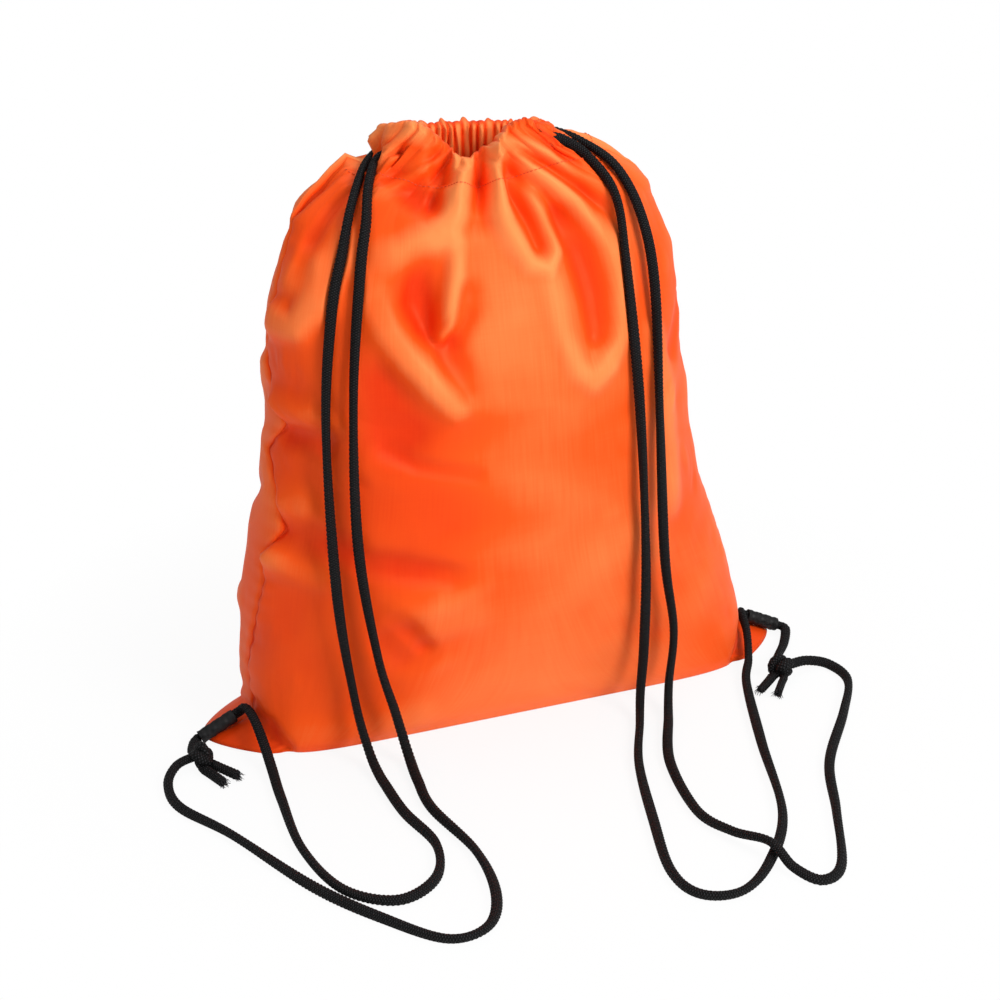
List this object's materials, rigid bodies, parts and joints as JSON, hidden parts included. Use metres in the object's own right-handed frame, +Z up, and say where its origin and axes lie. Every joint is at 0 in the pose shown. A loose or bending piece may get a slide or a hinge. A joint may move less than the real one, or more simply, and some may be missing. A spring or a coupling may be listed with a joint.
{
  "type": "drawstring sack",
  "caption": "Cloth drawstring sack standing filled, with a gathered hem mouth and two cords that run from the hem back to sleeves and knots at its lower corners.",
  "frame": {"origin": "middle of the base on the floor, measured on the bag without its free cords", "axes": "+Z up, +X towards the bag's right corner as the front is seen, front towards -Y"},
  "size_m": [0.4322, 0.3431, 0.3564],
  "materials": {
    "cloth": "matte woven nylon with a soft sheen",
    "cord": "matte braid",
    "sleeve": "satin coated cloth",
    "hem_thread": "matte",
    "sleeve_thread": "matte"
  },
  "bodies": {
    "bag": {"base_fold": "cloth", "front_panel": "cloth", "back_panel": "cloth", "front_hem_casing": "cloth", "back_hem_casing": "cloth", "front_hem_thread": "hem_thread", "back_hem_thread": "hem_thread", "left_side_seam": "cloth", "right_side_seam": "cloth", "left_cord_in_hem": "cord", "right_cord_in_hem": "cord", "left_strap_to_sleeve": "cord", "left_strap_to_knot": "cord", "right_strap_to_sleeve": "cord", "right_strap_to_knot": "cord", "left_cord_to_knot": "cord", "right_cord_to_knot": "cord", "left_knot": "cord", "right_knot": "cord", "left_cord_tails": "cord", "right_cord_tails": "cord"},
    "left_sleeve": {"left_corner_sleeve": "sleeve", "left_sleeve_stitching": "sleeve_thread", "left_cord_in_sleeve": "cord"},
    "right_sleeve": {"right_corner_sleeve": "sleeve", "right_sleeve_stitching": "sleeve_thread", "right_cord_in_sleeve": "cord"}
  },
  "joints": [
    {"name": "left_sleeve_flap", "type": "hinge", "parent": "bag", "child": "left_sleeve", "pos_m": [-0.16863, 0, 0.01214], "axis": [-0.8944, 0, -0.4472], "range_deg": [0, 80]},
    {"name": "right_sleeve_flap", "type": "hinge", "parent": "bag", "child": "right_sleeve", "pos_m": [0.16863, 0, 0.01214], "axis": [-0.8944, 0, 0.4472], "range_deg": [0, 80]}
  ]
}
